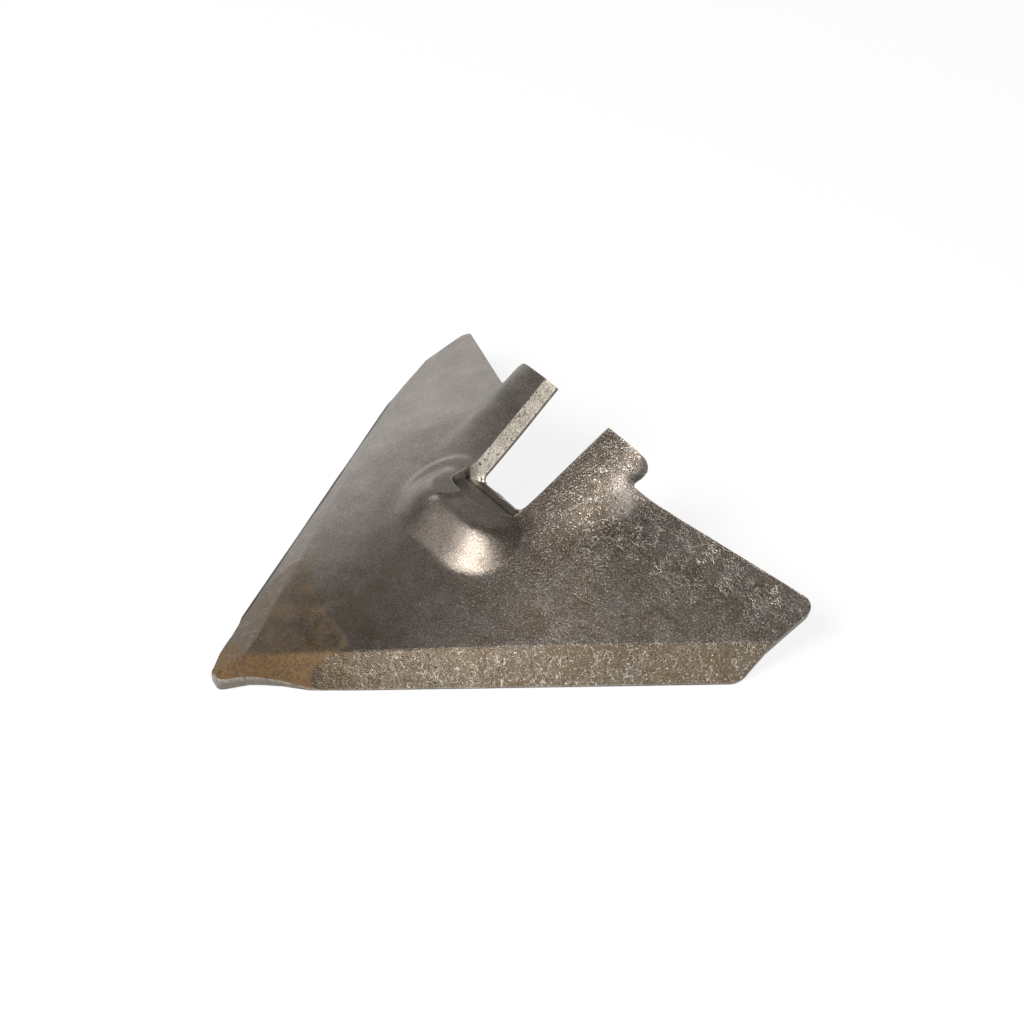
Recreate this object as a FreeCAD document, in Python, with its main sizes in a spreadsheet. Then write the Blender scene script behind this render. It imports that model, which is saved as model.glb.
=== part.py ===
import FreeCAD, Part
import Sketcher
import os
from math import atan, cos, exp, hypot, radians, sin, sqrt, tan

"""Duckfoot sweep: one plate of steel, pressed to a V, with a hooded and slotted crown.

Millimetres, +Z up. The nose faces -Y, the tabs face +Y, and X = 0 is the plane of symmetry.
The drawing starts from the point where the two cutting edges would meet on the ground. The
finished part is moved so that the middle of its footprint is the origin.
"""

Vector = FreeCAD.Vector

# Driving dimensions. Angles are in degrees, everything else in millimetres.
DRIVING_SIZES = [
    ("cutting_width", 228.6, "across the two cutting corners, nine inches"),
    ("point_angle", 67.4, "between the cutting edges, seen from above"),
    ("plate_thickness", 6.35, "quarter inch plate"),
    ("wing_slope", 30.5, "each wing to the ground, square to its cutting edge"),
    ("front_arch_radius", 155.0, "the arch that joins the wings in front"),
    ("arch_blend", 0.02, "softness of the change from arch to flat wing, as a slope"),
    ("stem_pitch", 35.3, "the rear crown to the ground"),
    ("stem_root", 100.5, "where the underside of the rear crown would meet the ground"),
    ("stem_arch_radius", 143.0, "the rear crown, seen along its slope"),
    ("stem_shoulder_slope", 56.3, "the concave step from the rear crown down to the wing"),
    ("stem_shoulder_blend", 5.0, "softness of the start of that step"),
    ("surface_blend", 3.0, "softness of the other changes of surface"),
    ("nose_cut", 8.2, "the right corner of the blunt nose lies this far behind the theoretical point"),
    ("nose_slant", 2.7, "the left corner of the nose lies this much further back"),
    ("nose_half_width", 4.6, "blunt nose, seen from above"),
    ("nose_corner_radius", 3.0, "seen from above"),
    ("waist_place", 19.0, "where the edges are worn in most behind the nose"),
    ("waist_half_width", 9.9, "half width there"),
    ("waist_end", 36.0, "where the straight cutting edges begin"),
    ("nose_lift", 1.0, "rise of the edge just behind the nose"),
    ("nose_lift_place", 21.0, "distance of that rise behind the point"),
    ("nose_lift_reach", 9.0, "half length of that rise"),
    ("edge_land", 0.8, "thickness left at the cutting edge"),
    ("nose_land_length", 8.0, "the full thickness at the nose thins to the edge within a few times this"),
    ("nose_land_left", 0.05, "share of that extra thickness on the left side"),
    ("bevel_width", 14.5, "ground bevel on the top face, along the slope"),
    ("tip_corner_radius", 5.0, "upper rear corner of a wing"),
    ("edge_corner_radius", 9.0, "cutting corner of a wing"),
    ("tip_lead", 27.8, "the upper rear corner lies this far past the cutting corner"),
    ("tip_rise", 29.0, "that corner above the cutting edge, along the slope"),
    ("corner_lead", 3.5, "the end of the wing meets the edge this far before the cutting corner"),
    ("ear_lead", 6.8, "where the end of the wing bends, past the cutting corner"),
    ("ear_rise", 11.3, "that place above the cutting edge, along the slope"),
    ("root_inset", 2.55, "the inner end of the back edge lies this far inside the side of the tab"),
    ("root_setback", 3.35, "and this far behind the start of the free side of the tab"),
    ("tab_span", 79.2, "across the outer sides of the two tabs"),
    ("tab_end", 95.8, "tab ends, up the slope from the root of the stem"),
    ("tab_foot", 87.0, "start of the free outer side of a tab, up the same slope"),
    ("tab_foot_rise", 3.5, "the floor of the notch beside a tab climbs by this"),
    ("tab_side_gap", 4.5, "width of the notch beside a tab"),
    ("clear_of_wings", 125.0, "up the same slope, well beyond the highest point of the wings"),
    ("tab_corner_radius", 5.0, "outer rear corner of a tab"),
    ("tab_foot_radius", 1.5, "inner corner between a tab and the back edge"),
    ("slot_rear_width", 38.2, "slot at the tab ends, on the top face"),
    ("slot_front_width", 30.2, "slot at its closed end, on the top face"),
    ("slot_front", 50.0, "closed end of the slot, up the slope from the root"),
    ("slot_corner_radius", 3.0, "corners of the closed end"),
    ("slot_bevel_depth", 3.0, "depth of the dovetail bevel along the slot"),
    ("slot_bevel_inset", 3.1, "how much the bevel narrows the slot on each side"),
    ("hood_place", 127.0, "where the round front of the hood starts, behind the point"),
    ("hood_half_width", 31.5, "hood to its foot, sideways"),
    ("hood_half_length", 22.5, "hood to its foot, forwards"),
    ("hood_top", 34.3, "height of the hood above the ground"),
    ("hood_drop", 11.9, "from the top of the hood to its foot"),
    ("hood_shape", 3.5, "a higher power gives a flatter top and steeper sides"),
    ("hollow_place", 124.0, "middle of the hollow under the hood, behind the point"),
    ("hollow_half_width", 21.8, "sideways"),
    ("hollow_half_length", 13.3, "lengthways"),
    ("hollow_drop", 17.0, "from its ceiling to its foot"),
    ("hollow_shape", 2.6, "as for the hood"),
    ("seat_radius", 28.4, "half moon seat cut into the rear of the hood"),
    ("seat_front", 126.9, "front of that seat behind the point"),
    ("seat_offset", -5.1, "middle of its round front, sideways"),
    ("seat_half_width", 16.4, "sideways"),
    ("seat_length", 13.6, "from its front to the closed end of the slot"),
    ("seat_height", 30.9, "floor of that seat above the ground"),
]

DERIVED_SIZES = [
    ("edge_length", "=cutting_width / 2 / sin(point_angle / 2 * 1deg)"),
    ("root_place", "=stem_root + tab_foot * cos(stem_pitch * 1deg) + root_setback"),
    ("root_side", "=tab_span / 2 - root_inset"),
    ("root_lead", "=root_side * sin(point_angle / 2 * 1deg) + root_place * cos(point_angle / 2 * 1deg)"),
    ("root_reach", "=root_place * sin(point_angle / 2 * 1deg) - root_side * cos(point_angle / 2 * 1deg)"),
    ("root_rise", "=root_reach / cos(wing_slope * 1deg)"),
]

# Spacing of the points through which the pressed surfaces are fitted.
SURFACE_STEP = 6.0
# The plate is pressed larger than the finished outline and then trimmed.
BLANK_MARGIN = 12.0
# Distance over which the slope of a surface is read.
SLOPE_STEP = 0.5
# The space that grinding takes away runs past the bevel on both sides, as shares of its width.
GRINDING_BEFORE = 0.5
GRINDING_BEYOND = 1.6


def make_sheet(doc):
    """Write the driving dimensions to a sheet, one named cell a row."""
    sheet = doc.addObject("Spreadsheet::Sheet", "sizes")
    for row, (name, value, note) in enumerate(DRIVING_SIZES, start=1):
        sheet.set("A%d" % row, name)
        sheet.set("B%d" % row, str(value))
        sheet.setAlias("B%d" % row, name)
        sheet.set("C%d" % row, note)
    for row, (name, formula) in enumerate(DERIVED_SIZES, start=len(DRIVING_SIZES) + 1):
        sheet.set("A%d" % row, name)
        sheet.set("B%d" % row, formula)
        sheet.setAlias("B%d" % row, name)
    doc.recompute()
    return sheet


class Plate:
    """The pressed surfaces of the blade, worked out from the sheet."""

    def __init__(self, sheet):
        for name in [row[0] for row in DRIVING_SIZES + DERIVED_SIZES]:
            setattr(self, name, float(sheet.get(name)))
        half_angle = radians(self.point_angle / 2)
        self.edge_run = tan(half_angle)
        self.along = Vector(sin(half_angle), cos(half_angle), 0)
        self.inward = Vector(-cos(half_angle), sin(half_angle), 0)
        tilt = radians(self.wing_slope)
        self.wing_up = self.inward * cos(tilt) + Vector(0, 0, sin(tilt))
        self.wing_normal = self.along.cross(self.wing_up)
        # Slope of a wing measured straight across the blade.
        self.side_slope = tan(radians(self.wing_slope)) * cos(half_angle)

    def on_wing(self, side, along, rise):
        """Middle of the thickness of a wing, from distances along and up from the cutting edge."""
        half = self.wing_normal * (self.plate_thickness / 2)
        place = self.along * along + self.wing_up * rise + half
        return Vector(side * place.x, place.y, place.z)

    def on_stem(self, side, sideways, climb, height):
        """A place sideways, up the slope of the rear crown and above its underside."""
        turn = FreeCAD.Rotation(Vector(1, 0, 0), self.stem_pitch)
        return Vector(0, self.stem_root, 0) + turn.multVec(Vector(side * sideways, climb, height))

    def on_nose(self, side):
        """A corner of the blunt nose, a little above its foot."""
        back = self.nose_cut + (self.nose_slant if side < 0 else 0)
        return Vector(side * self.nose_half_width, back, self.plate_thickness / 2)

    def soft_max(self, first, second, blend):
        return 0.5 * (first + second + hypot(first - second, blend))

    def front(self, x, y):
        """Underside of the wings and of the arch between them. It is zero on the cutting edge."""
        edge = self.edge_run * y
        arch = (edge + abs(x)) / (2 * self.front_arch_radius)
        slope = -self.soft_max(-arch, -self.side_slope, self.arch_blend)
        lift = self.nose_lift * exp(-((y - self.nose_lift_place) / self.nose_lift_reach) ** 2)
        return (edge - abs(x)) * slope + lift

    def stem(self, x, y):
        """Underside of the steeper crown that carries the tabs."""
        climb = tan(radians(self.stem_pitch)) * (y - self.stem_root)
        arch = x * x / (2 * self.stem_arch_radius)
        shoulder = self.soft_max(abs(x) - self.tab_span / 2, 0, self.stem_shoulder_blend)
        return climb - arch - shoulder * tan(radians(self.stem_shoulder_slope))

    def hood(self, x, y):
        """The dome in front of the slot. Behind its round front it only falls away sideways."""
        across = x / self.hood_half_width
        ahead = max(self.hood_place - y, 0) / self.hood_half_length
        return self.hood_top - self.hood_drop * hypot(across, ahead) ** self.hood_shape

    def hollow(self, x, y):
        """The hollow under the dome, one thickness of the plate below its top."""
        across = x / self.hollow_half_width
        ahead = (y - self.hollow_place) / self.hollow_half_length
        ceiling = self.hood_top - self.plate_thickness
        return ceiling - self.hollow_drop * hypot(across, ahead) ** self.hollow_shape

    def plain_under(self, x, y):
        return self.soft_max(self.front(x, y), self.stem(x, y), self.surface_blend)

    def steepness(self, x, y):
        """Height through a sloping plate of thickness one."""
        step = SLOPE_STEP
        slope_x = (self.plain_under(x + step, y) - self.plain_under(x - step, y)) / (2 * step)
        slope_y = (self.plain_under(x, y + step) - self.plain_under(x, y - step)) / (2 * step)
        return sqrt(1 + slope_x ** 2 + slope_y ** 2)

    def under(self, x, y):
        return self.soft_max(self.plain_under(x, y), self.hollow(x, y), self.surface_blend)

    def top(self, x, y):
        plain = self.plain_under(x, y) + self.plate_thickness * self.steepness(x, y)
        return self.soft_max(plain, self.hood(x, y), self.surface_blend)


def spread(low, high, step):
    """Evenly spaced values from low to high, at most step apart."""
    count = int((high - low) / step) + 1
    return [low + (high - low) * index / count for index in range(count + 1)]


def fitted_face(height, columns, rows):
    """A smooth face through the heights at the crossings of the columns and rows."""
    surface = Part.BSplineSurface()
    surface.interpolate([[Vector(x, y, height(x, y)) for y in rows] for x in columns])
    return surface.toShape()


def wall_between(upper, lower, matches):
    """The flat wall that joins the edges of two faces that match a test on their vertices."""
    pair = []
    for face in (upper, lower):
        pair += [edge for edge in face.Edges if all(matches(v.Point) for v in edge.Vertexes)]
    return Part.makeRuledSurface(pair[0], pair[1])


def pressed_blank(plate):
    """The pressed plate before it is trimmed: a fitted top, a fitted underside and four walls."""
    reach = plate.cutting_width / 2 + BLANK_MARGIN
    first = -BLANK_MARGIN
    last = (plate.edge_length + plate.tip_lead) * plate.along.y + 2 * BLANK_MARGIN
    columns = spread(-reach, reach, SURFACE_STEP)
    rows = spread(first, last, SURFACE_STEP)
    upper = fitted_face(plate.top, columns, rows)
    lower = fitted_face(plate.under, columns, rows)
    tests = [
        lambda p: abs(p.x - reach) < 1e-3,
        lambda p: abs(p.x + reach) < 1e-3,
        lambda p: abs(p.y - first) < 1e-3,
        lambda p: abs(p.y - last) < 1e-3,
    ]
    walls = [wall_between(upper, lower, test) for test in tests]
    shell = Part.makeShell([upper, lower] + walls)
    shell.sewShape()
    solid = Part.makeSolid(shell)
    return solid if solid.Volume > 0 else solid.reversed()


def grinding_space(plate, side):
    """The space that the grinding of one cutting edge takes away, side being 1 or -1."""
    bevel_angle = atan((plate.plate_thickness - plate.edge_land) / plate.bevel_width)
    nose = plate.nose_cut / plate.along.y
    first = nose - BLANK_MARGIN
    last = plate.edge_length + plate.tip_lead + BLANK_MARGIN
    low, high = [], []
    for along in spread(first, last, 2 * SURFACE_STEP):
        on_edge = plate.along * along
        slope_probe = on_edge + plate.inward * plate.bevel_width / 2
        rise = plate.front(slope_probe.x, slope_probe.y) - plate.front(on_edge.x, on_edge.y)
        slope = atan(rise / (plate.bevel_width / 2))
        crease = on_edge + plate.inward * plate.bevel_width * cos(slope + bevel_angle)
        near_nose = exp(-max(along - nose, 0) / plate.nose_land_length)
        extra = (plate.plate_thickness - 2 * plate.edge_land) * near_nose
        land = plate.edge_land + extra * (1 if side > 0 else plate.nose_land_left)
        on_edge.z = plate.front(on_edge.x, on_edge.y) + land
        crease.z = plate.top(crease.x, crease.y)
        across = crease - on_edge
        for curve, share in ((low, -GRINDING_BEFORE), (high, GRINDING_BEYOND)):
            point = on_edge + across * share
            curve.append(Vector(side * point.x, point.y, point.z))
    edges = []
    for points in (low, high):
        spline = Part.BSplineCurve()
        spline.interpolate(points)
        edges.append(spline.toShape())
    face = Part.makeRuledSurface(edges[0], edges[1])
    return face.extrude(Vector(0, 0, plate.cutting_width))


def origin_plane(body, role):
    return [item for item in body.Origin.OriginFeatures if item.Role == role][0]


def outline_sketch(body, name, placement, corners):
    """A closed outline whose corners are bound to the sheet, on a plane set from the ground."""
    sketch = body.newObject("Sketcher::SketchObject", name)
    sketch.AttachmentSupport = (origin_plane(body, "XY_Plane"), [""])
    sketch.MapMode = "FlatFace"
    sketch.AttachmentOffset = placement
    values = [[sketch.evalExpression(text) for text in corner] for corner in corners]
    places = [Vector(float(x), float(y), 0) for x, y in values]
    for index, place in enumerate(places):
        sketch.addGeometry(Part.LineSegment(place, places[(index + 1) % len(places)]), False)
    for index in range(len(places)):
        following = (index + 1) % len(places)
        sketch.addConstraint(Sketcher.Constraint("Coincident", index, 2, following, 1))
    for index, corner in enumerate(corners):
        for kind, text, value in zip(("DistanceX", "DistanceY"), corner, values[index]):
            made = sketch.addConstraint(Sketcher.Constraint(kind, -1, 1, index, 1, float(value)))
            sketch.setExpression("Constraints[%d]" % made, text)
    return sketch


def trim(body, name, sketch):
    """Cut the region of a sketch right through the plate."""
    pocket = body.newObject("PartDesign::Pocket", name)
    pocket.Profile = sketch
    pocket.SideType = "Symmetric"
    pocket.setExpression("Length", "sizes.cutting_width")
    return pocket


def round_corners(body, name, places, radius):
    """Round the edges that pass nearest to the places."""
    body.Document.recompute()
    base = body.Tip
    chosen = []
    for place in places:
        probe = Part.Vertex(place)
        edges = enumerate(base.Shape.Edges, start=1)
        nearest = min(edges, key=lambda item: item[1].distToShape(probe)[0])
        chosen.append("Edge%d" % nearest[0])
    fillet = body.newObject("PartDesign::Fillet", name)
    fillet.Base = (base, chosen)
    fillet.setExpression("Radius", radius)
    body.Document.recompute()


def add_feature(doc, name, shape):
    feature = doc.addObject("Part::Feature", name)
    feature.Shape = shape
    return feature


def trimmed_body(doc, plate, blank):
    """The blank cut to its outline, corner by corner, and slotted."""
    body = doc.addObject("PartDesign::Body", "trimmed_plate")
    body.BaseFeature = blank
    doc.recompute()

    ground = FreeCAD.Placement()
    on_edge = FreeCAD.Rotation(plate.along, plate.wing_up, plate.wing_normal, "ZXY")
    wing_plane = FreeCAD.Placement(Vector(), on_edge)
    stem_turn = FreeCAD.Rotation(Vector(1, 0, 0), plate.stem_pitch)
    stem_plane = FreeCAD.Placement(Vector(0, plate.stem_root, 0), stem_turn)

    run = "tan(sizes.point_angle / 2 * 1deg)"
    cutting_edges = outline_sketch(body, "cutting_edges", ground, [
        ("-2 * sizes.cutting_width", "-sizes.cutting_width"),
        ("2 * sizes.cutting_width", "-sizes.cutting_width"),
        ("2 * sizes.cutting_width", "2 * sizes.cutting_width"),
        ("2 * sizes.cutting_width * " + run, "2 * sizes.cutting_width"),
        ("sizes.waist_end * " + run, "sizes.waist_end"),
        ("sizes.waist_half_width", "sizes.waist_place"),
        ("sizes.nose_half_width", "sizes.nose_cut"),
        ("-sizes.nose_half_width", "sizes.nose_cut + sizes.nose_slant"),
        ("-sizes.waist_half_width", "sizes.waist_place"),
        ("-sizes.waist_end * " + run, "sizes.waist_end"),
        ("-2 * sizes.cutting_width * " + run, "2 * sizes.cutting_width"),
        ("-2 * sizes.cutting_width", "2 * sizes.cutting_width"),
    ])
    trim(body, "trim_cutting_edges", cutting_edges)

    ear = ("sizes.edge_length + sizes.ear_lead", "sizes.ear_rise")
    tip = ("sizes.edge_length + sizes.tip_lead", "sizes.tip_rise")
    root = ("sizes.root_lead", "sizes.root_rise")
    wing_end = outline_sketch(body, "wing_end", wing_plane, [
        ("sizes.edge_length - sizes.corner_lead - sizes.ear_lead", "-sizes.ear_rise"),
        ("sizes.edge_length - sizes.corner_lead", "0"),
        ear,
        tip,
        root,
        (root[0] + " + sizes.tab_span * cos(sizes.point_angle / 2 * 1deg)",
         root[1] + " + sizes.tab_span * sin(sizes.point_angle / 2 * 1deg) * cos(sizes.wing_slope * 1deg)"),
        ("2 * sizes.edge_length", "2 * sizes.root_rise"),
        ("2 * sizes.edge_length", "-sizes.ear_rise"),
    ])
    wing_trim = trim(body, "trim_wing_end", wing_end)
    doc.recompute()
    mirrored = body.newObject("PartDesign::Mirrored", "trim_other_wing_end")
    mirrored.Originals = [wing_trim]
    mirrored.MirrorPlane = (origin_plane(body, "YZ_Plane"), [""])
    body.Tip = mirrored

    tabs = outline_sketch(body, "tabs", stem_plane, [
        ("-sizes.tab_span / 2", "sizes.tab_foot"),
        ("-sizes.tab_span / 2", "sizes.tab_end"),
        ("sizes.tab_span / 2", "sizes.tab_end"),
        ("sizes.tab_span / 2", "sizes.tab_foot"),
        ("sizes.tab_span / 2 + sizes.tab_side_gap", "sizes.tab_foot + sizes.tab_foot_rise"),
        ("sizes.cutting_width", "sizes.clear_of_wings"),
        ("sizes.cutting_width", "sizes.cutting_width"),
        ("-sizes.cutting_width", "sizes.cutting_width"),
        ("-sizes.cutting_width", "sizes.clear_of_wings"),
        ("-(sizes.tab_span / 2 + sizes.tab_side_gap)", "sizes.tab_foot + sizes.tab_foot_rise"),
    ])
    trim(body, "trim_tabs", tabs)

    half_tabs = plate.tab_span / 2
    corner = plate.edge_length
    corners = [
        ("tab_corners", "sizes.tab_corner_radius",
         lambda side: plate.on_stem(side, half_tabs, plate.tab_end, 0)),
        ("tab_feet", "sizes.tab_foot_radius",
         lambda side: plate.on_stem(side, half_tabs, plate.tab_foot, 0)),
        ("wing_tips", "sizes.tip_corner_radius",
         lambda side: plate.on_wing(side, corner + plate.tip_lead, plate.tip_rise)),
        ("cutting_corners", "sizes.edge_corner_radius",
         lambda side: plate.on_wing(side, corner - plate.corner_lead, 0)),
        ("nose_corners", "sizes.nose_corner_radius",
         lambda side: plate.on_nose(side)),
    ]
    for name, radius, place in corners:
        round_corners(body, name, [place(1), place(-1)], radius)
    return body


def cut_slot(body, plate):
    """The open slot between the tabs: a straight cut, then a dovetail bevel from above."""
    stem_turn = FreeCAD.Rotation(Vector(1, 0, 0), plate.stem_pitch)
    foot = Vector(0, plate.stem_root, 0)
    bevel_foot = plate.plate_thickness - plate.slot_bevel_depth
    raised = foot + stem_turn.multVec(Vector(0, 0, bevel_foot))
    front = "sizes.slot_front_width / 2 - sizes.slot_bevel_inset"
    rear = "sizes.slot_rear_width / 2 - sizes.slot_bevel_inset"
    beyond = "sizes.tab_end + 2 * sizes.slot_bevel_inset"
    outlines = []
    for name, height, closed_end in (
        ("slot", foot, "sizes.slot_front"),
        ("slot_bevel", raised, "sizes.slot_front + sizes.slot_bevel_inset"),
    ):
        corners = [("-(%s)" % front, closed_end), (front, closed_end), (rear, beyond), ("-(%s)" % rear, beyond)]
        outlines.append(outline_sketch(body, name, FreeCAD.Placement(height, stem_turn), corners))
    straight, widening = outlines
    trim(body, "cut_slot", straight)
    bevel = body.newObject("PartDesign::Pocket", "cut_slot_bevel")
    bevel.Profile = widening
    bevel.Reversed = True
    bevel.setExpression("Length", "sizes.plate_thickness")
    bevel.setExpression("TaperAngle", "atan(sizes.slot_bevel_inset / sizes.slot_bevel_depth)")

    sideways = plate.slot_front_width / 2 - plate.slot_bevel_inset
    places = [plate.on_stem(side, sideways, plate.slot_front, bevel_foot / 2) for side in (1, -1)]
    round_corners(body, "slot_corners", places, "sizes.slot_corner_radius")


def seat_space(doc):
    """The half moon that is cut level into the rear of the hood."""
    round_part = doc.addObject("Part::Cylinder", "seat_round")
    round_part.setExpression("Radius", "sizes.seat_radius")
    round_part.setExpression("Height", "sizes.hood_drop")
    round_part.setExpression("Placement.Base.x", "sizes.seat_offset")
    round_part.setExpression("Placement.Base.y", "sizes.seat_front + sizes.seat_radius")
    round_part.setExpression("Placement.Base.z", "sizes.seat_height")
    block = doc.addObject("Part::Box", "seat_block")
    block.setExpression("Length", "2 * sizes.seat_half_width")
    block.setExpression("Width", "sizes.seat_length")
    block.setExpression("Height", "sizes.hood_drop")
    block.setExpression("Placement.Base.x", "-sizes.seat_half_width")
    block.setExpression("Placement.Base.y", "sizes.seat_front")
    block.setExpression("Placement.Base.z", "sizes.seat_height")
    seat = doc.addObject("Part::MultiCommon", "seat")
    seat.Shapes = [round_part, block]
    return seat


def failed(feature):
    return any(word in feature.State for word in ("Invalid", "Error"))


def main():
    doc = FreeCAD.newDocument("duckfoot_sweep")
    sheet = make_sheet(doc)
    plate = Plate(sheet)
    blank = add_feature(doc, "pressed_blank", pressed_blank(plate))
    body = trimmed_body(doc, plate, blank)
    cut_slot(body, plate)
    spaces = doc.addObject("Part::MultiFuse", "ground_and_cut_away")
    spaces.Shapes = [
        add_feature(doc, "grinding_right", grinding_space(plate, 1)),
        add_feature(doc, "grinding_left", grinding_space(plate, -1)),
        seat_space(doc),
    ]
    sweep = doc.addObject("Part::Cut", "sweep")
    sweep.Base = body
    sweep.Tool = spaces
    sweep.Label = "sweep"
    doc.recompute()

    for item in doc.Objects:
        if failed(item):
            raise RuntimeError("%s could not be worked out" % item.Name)
    box = sweep.Shape.optimalBoundingBox(False)
    sweep.Placement.Base = Vector(-box.Center.x, -box.Center.y, -box.ZMin)
    doc.recompute()
    shape = sweep.Shape
    if shape.isNull() or not shape.isValid() or len(shape.Solids) != 1:
        raise RuntimeError("the sweep is not one valid solid")
    os.makedirs("parts", exist_ok=True)
    shape.Solids[0].exportStep("parts/%s.step" % sweep.Label)


main()
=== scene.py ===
"""Duckfoot sweep, dressed for the studio.

The blade is one plate of steel, pressed to a V, with a hooded and slotted crown. It is laid out
flat as seen from above, and a Geometry Nodes tree presses it to its form. Sizes are in
millimetres. The drawing starts from the point where the two cutting edges would meet, +Y runs
back between the wings, and the finished mesh is moved into the shared frame.
"""
import logging
import math
import random
from collections.abc import Callable, Sequence
from dataclasses import dataclass, field, fields, replace
from enum import IntEnum

import bpy
import numpy as np
from mathutils import Matrix, Vector, geometry, kdtree


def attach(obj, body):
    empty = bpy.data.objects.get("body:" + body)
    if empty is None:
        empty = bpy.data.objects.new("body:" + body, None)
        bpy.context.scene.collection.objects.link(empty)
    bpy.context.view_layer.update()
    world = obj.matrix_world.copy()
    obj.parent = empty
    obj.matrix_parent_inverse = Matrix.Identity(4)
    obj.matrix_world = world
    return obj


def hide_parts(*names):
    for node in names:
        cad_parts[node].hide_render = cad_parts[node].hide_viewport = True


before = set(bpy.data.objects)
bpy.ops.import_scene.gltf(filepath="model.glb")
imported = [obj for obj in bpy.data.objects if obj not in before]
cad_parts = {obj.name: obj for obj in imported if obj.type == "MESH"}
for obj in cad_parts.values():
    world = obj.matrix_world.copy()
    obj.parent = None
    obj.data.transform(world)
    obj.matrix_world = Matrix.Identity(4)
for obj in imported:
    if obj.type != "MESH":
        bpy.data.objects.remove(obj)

log = logging.getLogger("duckfoot sweep")

Array = np.ndarray
Tree = bpy.types.NodeTree
Socket = bpy.types.NodeSocket

MILLIMETRE = 0.001
# Middle of the footprint and the ground, in the drawing.
FRAME_CENTRE = (0.0, 107.4962, 0.0234)
POINT_ANGLE = 67.4
# Sine and cosine of half the angle between the cutting edges.
HALF_POINT = (math.sin(math.radians(POINT_ANGLE / 2)), math.cos(math.radians(POINT_ANGLE / 2)))
SEED = 11
# A cut meets a curved face after so many steps, each this share of the gap that is left.
SEARCH_ROUNDS = 60
SEARCH_EASE = 0.6
# Corners whose half angle is past this are as good as straight.
STRAIGHT = 1.55
# Masks that the blade's mesh carries for its materials.
MARKS = ("rust", "red rust", "tone", "pocks", "scratches", "stain", "wear", "patina", "coarse",
         "ledge")


def linear(hex_colour: str) -> tuple[float, float, float, float]:
    """Turn an sRGB hex colour to linear light.

    Args:
        hex_colour: Colour written as "#rrggbb".

    Returns:
        Red, green, blue and an alpha of one.
    """
    parts = [int(hex_colour[i:i + 2], 16) / 255 for i in (1, 3, 5)]
    light = [p / 12.92 if p <= 0.04045 else ((p + 0.055) / 1.055) ** 2.4 for p in parts]
    return (light[0], light[1], light[2], 1.0)


def add_node(
    tree: Tree,
    kind: str,
    settings: dict[str, object] | None = None,
    inputs: dict[str | int, object] | None = None,
) -> bpy.types.Node:
    """Add a node with its settings, its constants and its links.

    Args:
        tree: Node tree that gets the node.
        kind: Blender's name for the node type.
        settings: Attributes of the node and their values.
        inputs: Sockets by name or number, each with a constant, a socket or a NodeValue.

    Returns:
        The new node.
    """
    node = tree.nodes.new(kind)
    for name, value in (settings or {}).items():
        setattr(node, name, value)
    for name, value in (inputs or {}).items():
        if isinstance(value, NodeValue):
            value = value.socket
        if isinstance(value, Socket):
            tree.links.new(value, node.inputs[name])
        else:
            node.inputs[name].default_value = value
    return node


def cleared(owner: bpy.types.ID) -> Tree:
    """Switch the nodes of a material or a world on and empty them.

    Args:
        owner: The material or world.

    Returns:
        Its node tree.
    """
    owner.use_nodes = True
    owner.node_tree.nodes.clear()
    return owner.node_tree


def linked(name: str, data: bpy.types.ID) -> bpy.types.Object:
    """Put a new object in the scene.

    Args:
        name: Its name.
        data: Its mesh, lamp or camera.

    Returns:
        The object.
    """
    made = bpy.data.objects.new(name, data)
    bpy.context.scene.collection.objects.link(made)
    return made


class NodeValue(np.lib.mixins.NDArrayOperatorsMixin):
    """A number in a node tree, with which numpy's functions and Python's signs reckon."""

    OPERATIONS = {
        np.add: "ADD", np.subtract: "SUBTRACT", np.multiply: "MULTIPLY", np.true_divide: "DIVIDE",
        np.abs: "ABSOLUTE", np.sqrt: "SQRT", np.exp: "EXPONENT", np.power: "POWER",
        np.maximum: "MAXIMUM", np.minimum: "MINIMUM",
    }

    def __init__(self, tree: Tree, socket: Socket) -> None:
        """Keep the tree, and the socket that carries the number."""
        self.tree = tree
        self.socket = socket

    def __array_ufunc__(self, function: np.ufunc, method: str, *terms: object) -> "NodeValue":
        """Add a Math node that does what a numpy function does.

        Args:
            function: The function.
            method: How numpy calls it, always plainly here; not used.
            terms: Its numbers and node values, in order.

        Returns:
            The node's result.
        """
        settings = {"operation": self.OPERATIONS[function]}
        node = add_node(self.tree, "ShaderNodeMath", settings, dict(enumerate(terms)))
        return NodeValue(self.tree, node.outputs[0])

    def between(self, low: float, high: float) -> "NodeValue":
        """Smooth step from zero at the low value to one at the high one.

        Args:
            low: Value up to which the step is zero.
            high: Value from which it is one.

        Returns:
            The step.
        """
        settings = {"interpolation_type": "SMOOTHSTEP"}
        node = add_node(self.tree, "ShaderNodeMapRange", settings, {0: self, 1: low, 2: high})
        return NodeValue(self.tree, node.outputs[0])


Number = NodeValue | Array | float


def soft_larger(first: Number, second: Number, blend: Number) -> Number:
    """The larger of two heights, with the change between them rounded off."""
    gap = first - second
    return 0.5 * (first + second + np.sqrt(gap * gap + blend * blend))


def soft_smaller(first: Number, second: Number, blend: Number) -> Number:
    """The smaller of two heights, with the change between them rounded off."""
    gap = first - second
    return 0.5 * (first + second - np.sqrt(gap * gap + blend * blend))


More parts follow.
